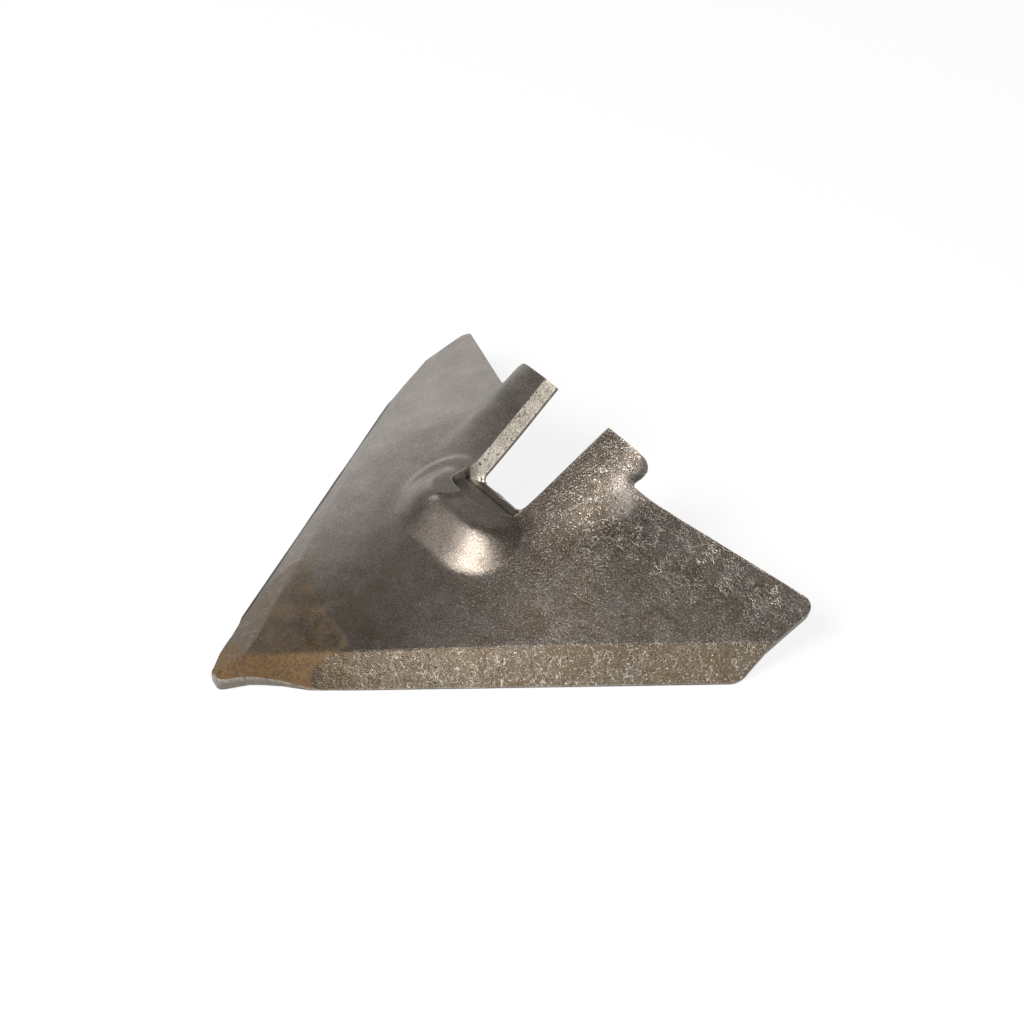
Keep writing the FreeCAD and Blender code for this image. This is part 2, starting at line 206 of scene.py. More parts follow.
@dataclass(frozen=True)
class PressedForm:
    """The rule that the pressed plate follows: a height over every place of the plan.

    Slopes are rise over run. The fields become the named inputs of the pressing tree.
    """

    plate_thickness: Number = 6.35
    # Wings: how far aside the cutting edge goes for a step back, and the slope across them.
    edge_run: Number = 0.66692
    side_slope: Number = 0.4901
    front_arch_radius: Number = 155.0
    arch_blend: Number = 0.02
    nose_lift: Number = 1.0
    nose_place: Number = 21.0
    nose_reach: Number = 9.0
    # The steeper rear crown and the shoulders beside its tabs.
    stem_slope: Number = 0.70804
    stem_root: Number = 100.5
    stem_arch_radius: Number = 143.0
    shoulder_place: Number = 39.6
    shoulder_slope: Number = 1.5
    shoulder_blend: Number = 5.0
    surface_blend: Number = 3.0
    # The hood: its top falls behind the crest, and its face is round in plan.
    hood_top: Number = 35.7
    hood_crest: Number = 117.0
    hood_crest_bend: Number = 1.5
    hood_fall: Number = 0.19
    hood_bend: Number = 3.0
    hood_foot: Number = 22.3
    hood_steepness: Number = 1.15
    hood_place: Number = 127.0
    hood_straight: Number = 11.0
    hood_radius: Number = 22.8
    hood_corner: Number = 8.0
    hood_blend: Number = 1.0
    hollow_half_width: Number = 21.8
    hollow_half_length: Number = 13.3
    hollow_place: Number = 124.0
    hollow_top: Number = 28.25
    hollow_drop: Number = 17.0
    hollow_roundness: Number = 1.3
    seat_height: Number = 30.9

    def front(self, x: Number, y: Number, thickness: Number) -> Number:
        """Wings and the arch between them, with a plate of the given thickness on them.

        Args:
            x: Places across.
            y: Places along.
            thickness: Plate that lies on the underside, zero for the underside itself.

        Returns:
            The heights.
        """
        edge = self.edge_run * y
        side = np.abs(x)
        arch = (edge + side) / (2 * self.front_arch_radius)
        slope = self.side_slope - soft_larger(self.side_slope - arch, 0.0, self.arch_blend)
        behind_nose = (y - self.nose_place) / self.nose_reach
        lift = self.nose_lift * np.exp(-1.0 * behind_nose * behind_nose)
        radius = self.front_arch_radius
        arch_steep = (x * x + self.edge_run * self.edge_run * edge * edge) / (radius * radius)
        wing_steep = self.side_slope * self.side_slope * (1.0 + self.edge_run * self.edge_run)
        steep = np.minimum(arch_steep, wing_steep)
        return (edge - side) * slope + lift + thickness * np.sqrt(1.0 + steep)

    def stem(self, x: Number, y: Number, thickness: Number) -> Number:
        """The steeper rear crown that carries the tabs.

        Args:
            x: Places across.
            y: Places along.
            thickness: Plate that lies on the underside, zero for the underside itself.

        Returns:
            The heights.
        """
        climb = self.stem_slope * (y - self.stem_root)
        arch = x * x / (2 * self.stem_arch_radius)
        past = np.abs(x) - self.shoulder_place
        shoulder = soft_larger(past, 0.0, self.shoulder_blend) * self.shoulder_slope
        steepness = np.sqrt(1.0 + self.stem_slope * self.stem_slope)
        return climb - arch - shoulder + thickness * steepness

    def plain(self, x: Number, y: Number, thickness: Number) -> Number:
        """Wings, arch and rear crown together."""
        front = self.front(x, y, thickness)
        return soft_larger(front, self.stem(x, y, thickness), self.surface_blend)

    def hood(self, x: Number, y: Number) -> Number:
        """The hood in front of the slot: a round steep face under a top that falls to the rear.

        Args:
            x: Places across.
            y: Places along.

        Returns:
            The heights.
        """
        past = np.abs(x) - self.hood_straight
        across = soft_larger(past, 0.0, self.hood_corner)
        ahead = np.maximum(self.hood_place - y, 0.0)
        reach = np.sqrt(across * across + ahead * ahead)
        face = self.hood_foot + (self.hood_radius - reach) * self.hood_steepness
        behind = soft_larger(y - self.hood_crest, 0.0, self.hood_crest_bend)
        return soft_smaller(self.hood_top - behind * self.hood_fall, face, self.hood_bend)

    def hollow(self, x: Number, y: Number) -> Number:
        """The hollow under the hood.

        Args:
            x: Places across.
            y: Places along.

        Returns:
            The heights of its roof.
        """
        across = x / self.hollow_half_width
        ahead = (y - self.hollow_place) / self.hollow_half_length
        reach = np.power(across * across + ahead * ahead, self.hollow_roundness)
        return self.hollow_top - self.hollow_drop * reach

    def top(self, x: Number, y: Number) -> Number:
        """Height of the pressed top face, before anything is ground or cut away."""
        plain = self.plain(x, y, self.plate_thickness)
        return soft_larger(plain, self.hood(x, y), self.hood_blend)

    def under(self, x: Number, y: Number) -> Number:
        """Height of the underside."""
        return soft_larger(self.plain(x, y, 0.0), self.hollow(x, y), self.surface_blend)


def distance_to_loop(x: Array, y: Array, loop: Array) -> Array:
    """Signed distance to a closed loop, positive inside.

    Args:
        x: Places across.
        y: Places along.
        loop: Corners of the loop, a row each.

    Returns:
        One distance for every place.
    """
    x, y = np.atleast_1d(x).astype(float), np.atleast_1d(y).astype(float)
    nearest = np.full(x.shape, np.inf)
    inside = np.zeros(x.shape, bool)
    for (ax, ay), (bx, by) in zip(loop, np.roll(loop, -1, axis=0)):
        dx, dy = bx - ax, by - ay
        share = np.clip(((x - ax) * dx + (y - ay) * dy) / max(dx * dx + dy * dy, 1e-12), 0, 1)
        nearest = np.minimum(nearest, np.hypot(x - ax - share * dx, y - ay - share * dy))
        if dy:
            crossing = (ay > y) != (by > y)
            inside ^= crossing & (x < ax + (y - ay) / dy * dx)
    return np.where(inside, nearest, -nearest)


def along_path(points: Sequence[Sequence[float]], step: float, closed: bool = False) -> Array:
    """Points on straight lines between corners, at most a step apart.

    Args:
        points: Corners of the path.
        step: Largest spacing.
        closed: Whether the last corner joins the first.

    Returns:
        The points, a row each, corners included.
    """
    corners = np.array(points, float)
    ends = np.roll(corners, -1, axis=0) if closed else corners[1:]
    made = []
    for start, end in zip(corners, ends):
        count = max(1, math.ceil(np.linalg.norm(end - start) / step - 1e-6))
        made += [start + (end - start) * i / count for i in range(count)]
    if not closed:
        made.append(corners[-1])
    return np.array(made)


def smooth_loop(points: Sequence[tuple[float, float]], rounds: int = 3) -> Array:
    """Cut the corners of a closed loop again and again until it is smooth.

    Args:
        points: Corners of the loop.
        rounds: How often its corners are cut.

    Returns:
        The points of the smooth loop, a row each.
    """
    loop = np.array(points, float)
    for _ in range(rounds):
        following = np.roll(loop, -1, axis=0)
        loop = np.stack([loop * 0.75 + following * 0.25, loop * 0.25 + following * 0.75], 1)
        loop = loop.reshape(-1, 2)
    return loop


def ramp(distance: Array, width: float) -> Array:
    """Zero up to a line, and from there up to one over a width."""
    return np.clip(distance / width, 0, 1)


def moved_in(loop: Array, distance: float) -> Array:
    """Move a loop inwards, square to itself.

    Args:
        loop: The loop, point by point.
        distance: How far it moves.

    Returns:
        The moved points, a row each.
    """
    ahead = np.roll(loop, -1, axis=0) - loop
    ahead /= np.linalg.norm(ahead, axis=1)[:, None]
    square = np.stack([-ahead[:, 1], ahead[:, 0]], 1)
    both = square + np.roll(square, 1, axis=0)
    both /= np.maximum((both * both).sum(1), 0.8)[:, None] / 2
    return loop + both * distance


def scattered(loop: Array, spacing: float) -> Array:
    """Points in rows inside a loop, each a little out of place.

    Args:
        loop: The loop, point by point.
        spacing: Distance between the points.

    Returns:
        The points, a row each.
    """
    low, high = loop.min(0), loop.max(0)
    shift = random.Random(SEED)
    wobble = spacing * 0.12
    row = 0
    spots = []
    y = low[1]
    while y < high[1]:
        x = low[0] + (row % 2) * spacing / 2
        while x < high[0]:
            spots.append([at + shift.uniform(-wobble, wobble) for at in (x, y)])
            x += spacing
        y += spacing * math.sqrt(3) / 2
        row += 1
    spots = np.array(spots)
    return spots[distance_to_loop(spots[:, 0], spots[:, 1], loop) > spacing * 0.4]


def filled(
    loop: Array, lines: list[Array], spacing: float
) -> tuple[Array, list[tuple[int, ...]], list[int]]:
    """Fill a loop with small triangles that follow some lines.

    Args:
        loop: The loop, point by point.
        lines: Open lines that the triangles follow.
        spacing: Distance between the inner points.

    Returns:
        The points, the triangles, and the place of each point of the loop among the points.
    """
    count = len(loop)
    points = [tuple(p) for p in loop]
    edges = [(i, (i + 1) % count) for i in range(count)]
    for line in lines:
        depth = distance_to_loop(line[:, 0], line[:, 1], loop)
        last = None
        for place, clear in zip(line, depth):
            nearest = int(np.argmin(np.hypot(*(loop - place).T)))
            # A line ends in the nearest point of the loop, and starts there if it is close by.
            if clear < spacing * 0.45:
                if last is not None:
                    edges.append((last, nearest))
                last = None
                continue
            points.append(tuple(place))
            if last is None and clear < spacing * 1.8:
                last = nearest
            if last is not None:
                edges.append((last, len(points) - 1))
            last = len(points) - 1
    tree = kdtree.KDTree(len(points))
    for i, (x, y) in enumerate(points):
        tree.insert((x, y, 0), i)
    tree.balance()
    for x, y in scattered(loop, spacing):
        if tree.find((x, y, 0))[2] > spacing * 0.55:
            points.append((x, y))
    flat = [Vector(p) for p in points]
    verts, _, faces, origin, _, _ = geometry.delaunay_2d_cdt(flat, edges, [], 1, 1e-5, True)
    place = {}
    for i, sources in enumerate(origin):
        for source in sources:
            place[source] = i
    verts = np.array([tuple(v) for v in verts])
    middles = verts[np.array(faces)].mean(1)
    kept = distance_to_loop(middles[:, 0], middles[:, 1], loop) > 0
    faces = [tuple(face) for face, inside in zip(faces, kept) if inside]
    return verts, faces, [place[i] for i in range(count)]


@dataclass(frozen=True)
class Corner:
    """A corner of the outline in its pattern plane."""

    first: float
    second: float
    radius: float = 0.0


@dataclass(frozen=True)
class PatternPlane:
    """A plane square to which an edge of the plate is cut, and in which it is straight."""

    origin: tuple[float, float, float]
    first: tuple[float, float, float]
    second: tuple[float, float, float]

    def meet(self, places: Array, height: Callable, side: int) -> Array:
        """Find where the cut through places of the plane meets a face of the plate.

        Args:
            places: Places in the plane, a row each.
            height: Height of the face over a place of the plan.
            side: 1 for the right of the blade, -1 for the left.

        Returns:
            The places in plan, a row each.
        """
        first, second = np.array(self.first), np.array(self.second)
        normal = np.cross(first, second)
        base = np.array(self.origin) + places[:, :1] * first + places[:, 1:2] * second
        lift = np.zeros(len(places))
        for _ in range(SEARCH_ROUNDS):
            spot = base + lift[:, None] * normal
            gap = height(side * spot[:, 0], spot[:, 1]) - spot[:, 2]
            lift += gap / normal[2] * SEARCH_EASE
        spot = base + lift[:, None] * normal
        return np.stack([side * spot[:, 0], spot[:, 1]], 1)


def rounded(corners: Sequence[Corner], step: float) -> Array:
    """Points along an open line of corners, with the inner corners rounded.

    Args:
        corners: Corners of the line.
        step: Largest spacing of the points.

    Returns:
        The points, a row each.
    """
    spots = [np.array([c.first, c.second]) for c in corners]
    line = [spots[0]]
    for i in range(1, len(corners) - 1):
        back = spots[i - 1] - spots[i]
        ahead = spots[i + 1] - spots[i]
        back, ahead = back / np.linalg.norm(back), ahead / np.linalg.norm(ahead)
        half = math.acos(np.clip(back @ ahead, -1, 1)) / 2
        radius = corners[i].radius
        if radius == 0 or half > STRAIGHT:
            line.append(spots[i])
            continue
        trim = radius / math.tan(half)
        centre = spots[i] + (back + ahead) / np.linalg.norm(back + ahead) * radius / math.sin(half)
        start, end = spots[i] + back * trim - centre, spots[i] + ahead * trim - centre
        turn = math.pi - 2 * half
        count = max(3, math.ceil(radius * turn / step))
        for k in range(count + 1):
            part = k / count
            weights = math.sin((1 - part) * turn), math.sin(part * turn)
            line.append(centre + (start * weights[0] + end * weights[1]) / math.sin(turn))
    line.append(spots[-1])
    return along_path(line, step)


class Finish(IntEnum):
    """How a face of the plate was left."""

    SKIN = 0
    GROUND = 1
    CUT = 2
    MILLED = 3


@dataclass(frozen=True)
class Patch:
    """A soft round area of the plate, seen from above."""

    x: float
    y: float
    radius: float
    strength: float = 1.0


def layered(tree: Tree, base: object, coats: Sequence[tuple[object, object]]) -> Socket:
    """Lay coats of colour over a base.

    Args:
        tree: Node tree of the material.
        base: Colour or socket under the coats.
        coats: Share and colour of each coat, the lowest first.

    Returns:
        The socket with the colour that is seen.
    """
    for share, coat in coats:
        inputs = {"Factor": share, 6: base, 7: coat}
        base = add_node(tree, "ShaderNodeMix", {"data_type": "RGBA"}, inputs).outputs[2]
    return base


@dataclass(frozen=True)
class Steel:
    """A finish of the blade's spring steel: colours, gloss and grain. Sizes are millimetres."""

    name: str
    pale: str
    deep: str
    speck: str
    metallic: float
    roughness: float
    grain_size: float
    grain_depth: float
    speck_share: float
    mottle_size: float
    # How thickly small holes and curly pits are strewn over all of the finish.
    pitting: float = 0.0
    curls: float = 0.0
    # How much longer the grain is along the cutting edge than across it.
    lay: float = 1.0

    def places(self, tree: Tree) -> tuple[Socket, Socket]:
        """Find the place on the blade that the patterns read.

        Args:
            tree: Node tree of the material.

        Returns:
            The place in millimetres, and the same stretched along the cutting edges.
        """
        place = add_node(tree, "ShaderNodeTexCoord").outputs["Object"]
        inputs = {0: place, "Scale": 1 / MILLIMETRE}
        place = add_node(tree, "ShaderNodeVectorMath", {"operation": "SCALE"}, inputs).outputs[0]
        parts = add_node(tree, "ShaderNodeSeparateXYZ", {}, {0: place}).outputs
        side, rear = np.abs(NodeValue(tree, parts[0])), NodeValue(tree, parts[1])
        sine, cosine = HALF_POINT
        along = side * (sine / self.lay) + rear * (cosine / self.lay)
        inputs = {0: along, 1: side * cosine - rear * sine, 2: parts[2]}
        return place, add_node(tree, "ShaderNodeCombineXYZ", {}, inputs).outputs[0]

    def noises(self, tree: Tree) -> dict[str, NodeValue]:
        """Add the noises that the finish is made of.

        Args:
            tree: Node tree of the material.

        Returns:
            Values from zero to one, by name.
        """
        place, laid = self.places(tree)
        # Size of the features in millimetres, detail, roughness and the place that is read.
        table = {
            "mottle": (self.mottle_size, 5, 0.6, place),
            # Blasted or ground steel has a grain of 0.05 to 0.1 mm. That is too fine to show, so
            # it is drawn 0.6 to 0.8 mm coarse.
            "grain": (self.grain_size, 4, 0.65, laid),
            "speck": (self.grain_size * 0.9, 2, 0.5, laid),
            # Clouds of patina, stains and crusts of rust are as large as on the real blade.
            "patina": (11.0, 5, 0.65, place),
            "stain": (5.0, 4, 0.65, place),
            "crust": (7.0, 6, 0.68, place),
            "red": (3.0, 4, 0.55, place),
            # Scale came off in flakes of 2 to 4 mm, in groups of about 6 mm.
            "group": (6.0, 2, 0.55, place),
            "swirl": (4.2, 2, 0.5, place),
            "curl": (2.6, 1, 0.5, place),
            "hole": (1.6, 3, 0.6, place),
            # The scratches bend every 24 mm or so, and break off every 7 mm.
            "scratch": (24.0, 1, 0.5, place),
            "break": (7.0, 2, 0.55, place),
            # Rust dust is under 0.3 mm and is drawn about 1 mm coarse, so that it shows.
            "dust": (1.1, 4, 0.7, place),
        }
        made = {}
        for name, (size, detail, roughness, where) in table.items():
            inputs = {"Vector": where, "Scale": 1 / size, "Detail": detail, "Roughness": roughness}
            noise = add_node(tree, "ShaderNodeTexNoise", {}, inputs)
            made[name] = NodeValue(tree, noise.outputs[0])
        return made

    def material(self) -> bpy.types.Material:
        """Build the finish.

        Returns:
            A material whose pattern sizes are millimetres of the real blade.
        """
        made = bpy.data.materials.new(self.name)
        tree = cleared(made)
        noise = self.noises(tree)
        mark = {}
        for name in MARKS:
            node = add_node(tree, "ShaderNodeAttribute", {"attribute_name": name})
            mark[name] = NodeValue(tree, node.outputs["Fac"])

        # The mark read here holds darker and lighter areas and the rust film, and also painted
        # shade and a painted highlight.
        shade = (noise["mottle"] - 0.5) * 0.9 + mark["tone"]
        shade = shade + (noise["grain"] - 0.5) * (mark["coarse"] * 1.2 + 1.5)
        patina = mark["patina"] * noise["patina"].between(0.25, 0.7)
        # Worn high spots of the scale catch the light as small bright specks.
        specks = noise["speck"].between(0.74 - self.speck_share, 0.86 - self.speck_share)
        # Curly pits left by loose scale: thin contour lines of a noise, pale as the flake edges
        # with their glint painted on, and near-black holes.
        groups = noise["group"].between(0.40, 0.60)
        strewn = (mark["pocks"] * 0.8 + mark["coarse"] * 0.17 + self.curls) * groups
        swirl = np.abs(noise["swirl"] - 0.5).between(0.004, 0.020)
        curl = np.abs(noise["curl"] - 0.45).between(0.004, 0.022)
        pock = (1.0 - np.minimum(swirl, curl)) * strewn
        hole = (1.0 - noise["hole"].between(0.33, 0.42)) * (strewn + self.pitting)
        line = np.abs(noise["scratch"] - 0.47).between(0.0008, 0.004)
        scratch = (1.0 - line) * mark["scratches"] * noise["break"].between(0.45, 0.6)
        stain = mark["stain"] * noise["stain"].between(0.4, 0.62)
        # Pale worn top edges that also carry their painted highlight, and a painted highlight
        # along the rim of the seat.
        wear = mark["wear"] * noise["hole"].between(0.3, 0.62)
        crust = (noise["crust"] - 0.5) * 0.8 * mark["rust"].between(0.0, 0.3)
        rust = (mark["rust"] + crust).between(0.2, 1.05)
        rust_colour = layered(tree, linear("#3b2e1a"), [
            (noise["dust"].between(0.30, 0.72), linear("#694c26")),
            (mark["red rust"] * noise["red"].between(0.3, 0.6), linear("#5e3119")),
        ])
        colour = layered(tree, linear(self.deep), [
            (shade.between(-0.9, 0.9), linear(self.pale)),
            (patina * 0.75, linear("#54452f")),
            (specks * (mark["coarse"] * 0.45 + 0.15), linear(self.speck)),
            # Pale curls of the flake edges, their glint painted on.
            (pock * 0.65, linear("#dcd5c8")),
            (hole * 0.8, linear("#26211c")),
            (scratch * 0.4, linear("#b5a893")),
            (stain * 0.55, linear("#3d362e")),
            # A painted shadow line along the step in the floor of the seat.
            (mark["ledge"] * 0.85, linear("#1d1915")),
            # Worn top edges with a painted highlight, and a painted highlight on the seat's rim.
            (wear * 0.5, linear("#b4ada1")),
            (rust * 0.95, rust_colour),
        ])

        metal = (1.0 - rust * 0.8) * self.metallic
        gloss = noise["grain"] * 0.16 + rust * 0.3 + stain * 0.1 + (self.roughness - 0.08)
        relief = noise["grain"] + noise["mottle"] * 1.5 + pock * 0.8 - hole
        relief = (relief + rust * noise["dust"] * 1.2) * self.grain_depth
        bump = add_node(tree, "ShaderNodeBump", {}, {"Distance": MILLIMETRE, "Height": relief})
        inputs = {"Base Color": colour, "Metallic": metal, "Roughness": gloss,
                  "Normal": bump.outputs[0]}
        shader = add_node(tree, "ShaderNodeBsdfPrincipled", {}, inputs)
        add_node(tree, "ShaderNodeOutputMaterial", {}, {"Surface": shader.outputs[0]})
        return made


# Hot pressed spring steel, shot blasted and weathered: dull grey-brown with a fine grain.
PRESSED_SKIN = Steel(
    "hot pressed spring steel", "#958c84", "#413a33", "#c8c3bb", metallic=0.93, roughness=0.32,
    grain_size=0.6, grain_depth=0.16, speck_share=0.165, mottle_size=14.0)
# Ground spring steel that has dulled: brighter, with the fine marks of the grit along the edge.
GROUND_BEVEL = Steel(
    "coarse ground spring steel", "#71675b", "#352e26", "#cfc8be", metallic=0.9, roughness=0.40,
    grain_size=0.6, grain_depth=0.16, speck_share=0.13, mottle_size=5.0, pitting=0.15, curls=0.25,
    lay=1.8)
# Sheared walls all round the plate: plain and a little darker than the faces.
CUT_EDGE = Steel(
    "sheared spring steel", "#8d8781", "#55504a", "#b5afa5", metallic=0.8, roughness=0.45,
    grain_size=0.8, grain_depth=0.10, speck_share=0.12, mottle_size=5.0)
# Milled dovetail faces of the slot: the barest metal of the blade, open with small pits.
MILLED_BEVEL = Steel(
    "milled spring steel", "#d6cfc2", "#6f665a", "#f4f0e6", metallic=0.8, roughness=0.42,
    grain_size=0.7, grain_depth=0.14, speck_share=0.24, mottle_size=5.0, pitting=1.0)


# Soft areas of the upper side: where rust, pits, scratches, stains and patina lie, and where shade
# and a highlight are painted.
PATCHES: dict[str, list[Patch]] = {
    "red rust": [Patch(25, 32, 5, 0.9)],
    "pocks": [Patch(30, 158, 11, 0.6), Patch(45, 163, 12, 0.9), Patch(60, 166, 9, 0.8),
              Patch(76, 180, 12, 0.6), Patch(97, 193, 9, 0.5)],
    "scratches": [Patch(2, 72, 16), Patch(16, 86, 10, 0.8), Patch(-39, 80, 10, 0.6)],
    "stain": [Patch(43, 147, 9), Patch(58, 171, 8, 0.8), Patch(75, 155, 14, 0.5),
              Patch(100, 174, 10, 0.5)],
    "patina": [Patch(5, 55, 45, 0.9), Patch(60, 115, 50, 0.85), Patch(95, 165, 40, 0.8),
               Patch(-25, 75, 30, 0.5)],
    # Painted shade on the nose, on the right tab and on the left end of the hood.
    "painted shade": [Patch(8, 60, 38, 0.2), Patch(28, 160, 26, 1.15), Patch(-12, 109, 7, 0.5)],
    # Painted shade on the left tab.
    "painted shade left tab": [Patch(-30, 165, 16, 0.3)],
    # A painted highlight in the notch beside the right tab.
    "painted notch highlight": [Patch(40.5, 167.5, 6, 1.2)],
}


@dataclass(frozen=True)
class Weathering:
    """Rust, darker and lighter areas, pits, stains, worn edges, painted shade and painted
    highlights of the blade, each a mask over its points.
    """

    # Inside the rust's outline lies a thin film, and along the outline a stronger tide line.
    rust_outline: tuple[tuple[float, float], ...] = (
        (0.0, 4.0), (-9.0, 14.0), (-22.0, 32.0), (-38.0, 62.0), (-33.0, 70.0), (-24.0, 68.0),
        (-11.1, 61.5), (1.6, 58.4), (15.0, 58.5), (20.1, 55.0), (17.6, 46.3), (19.3, 38.1),
        (28.3, 33.9), (24.0, 22.0), (9.0, 6.0),
    )
    film: float = 0.5
    film_softness: float = 3.0
    tide: float = 0.24
    tide_width: float = 1.5
    film_shade: float = 0.35
    # Thicker rust on the ground bevels: on the right one, and on the left one near the nose.
    bevel_reach: float = 13.5
    bevel_softness: float = 3.0
    right_bevel: float = 0.65
    right_bevel_start: float = -3.0
    left_bevel: float = 0.4
    left_bevel_end: float = 30.0
    # The floor of the seat is a little brighter, and the plate darkens out to the left.
    seat_shine: float = 0.1
    left_shade: float = 0.18
    left_shade_reach: float = 60.0
    # Width of the painted highlight along the rim of the seat.
    seat_rim_width: float = 0.6

    def masks(
        self, blade: "Blade", x: Array, y: Array, share: Array, drop: Array
    ) -> dict[str, Array]:
        """Work out the masks.

        Args:
            blade: The blade that carries them.
            x: Places across.
            y: Places along.
            share: Zero on the top face, one on the underside.
            drop: How far a point of a rounded edge is tucked in.

        Returns:
            Values from about zero to one, by name.
        """
        upper, face = share < 0.75, share < 0.02
        patch = {}
        for name, patches in PATCHES.items():
            total = np.zeros(len(x))
            for p in patches:
                far = ((x - p.x) ** 2 + (y - p.y) ** 2) / p.radius ** 2
                total = np.maximum(total, p.strength * np.exp(-far))
            patch[name] = total * upper

        depth = distance_to_loop(x, y, smooth_loop(self.rust_outline))
        within = np.clip(depth / self.film_softness + 0.5, 0, 1)
        tide = self.tide * np.exp(-(depth / self.tide_width) ** 2)
        inset = np.abs(x) * blade.inward[0] + y * blade.inward[1]
        bevel = ramp(self.bevel_reach - inset, self.bevel_softness)
        right = self.right_bevel * ramp(depth + 2, 4) * bevel
        left = self.left_bevel * ramp(self.left_bevel_end - y, 8) * bevel
        rust = self.film * within + tide + np.where(x > self.right_bevel_start, right, left)

        seat = blade.seat(x, y)
        # A painted highlight along the rim of the seat, in front of the step.
        rim = distance_to_loop(x, y, blade.seat_loop) / self.seat_rim_width
        rim = np.exp(-rim ** 2) * (y < blade.ledge_place + 0.5)
        # Darker and lighter areas, with painted shade and a painted highlight among them.
        tone = self.seat_shine * seat * face - self.left_shade * ramp(-x, self.left_shade_reach)
        # Painted shade on the nose, the tabs and the hood's left end, and a painted highlight in
        # the notch beside the right tab.
        tone += patch["painted notch highlight"] - patch["painted shade"] - patch["painted shade left tab"]
        return {
            "rust": rust * face * (drop < 0.2),
            "red rust": patch["red rust"],
            "tone": tone - self.film_shade * within,
            "pocks": patch["pocks"],
            "scratches": patch["scratches"],
            "stain": patch["stain"],
            # Worn top edges with a painted highlight, and a painted highlight along the seat's
            # rim.
            "wear": (drop > 0.2) + rim * face,
            "patina": patch["patina"] * face,
            # The scale is coarsest on the right wing and smooth at the nose and on the left.
            "coarse": np.clip((x - 2) / 35, 0.15, 1) * np.clip((y - 50) / 70, 0.1, 1),
            # A painted shadow line along the step in the floor of the seat.
            "ledge": (np.abs(y - blade.ledge_place) < 0.5) * seat,
        }


@dataclass(frozen=True)
class Shell:
    """The closed plate laid flat: its points, how each is placed in the press, and its faces."""

    places: Array
    # Where each point lands on the underside, and how much of the way there it goes.
    feet: Array
    share: Array
    drop: Array
    # The faces of the top come first, then those of the rim.
    faces: list[tuple[int, ...]]
    upper_count: int
    rim_count: int


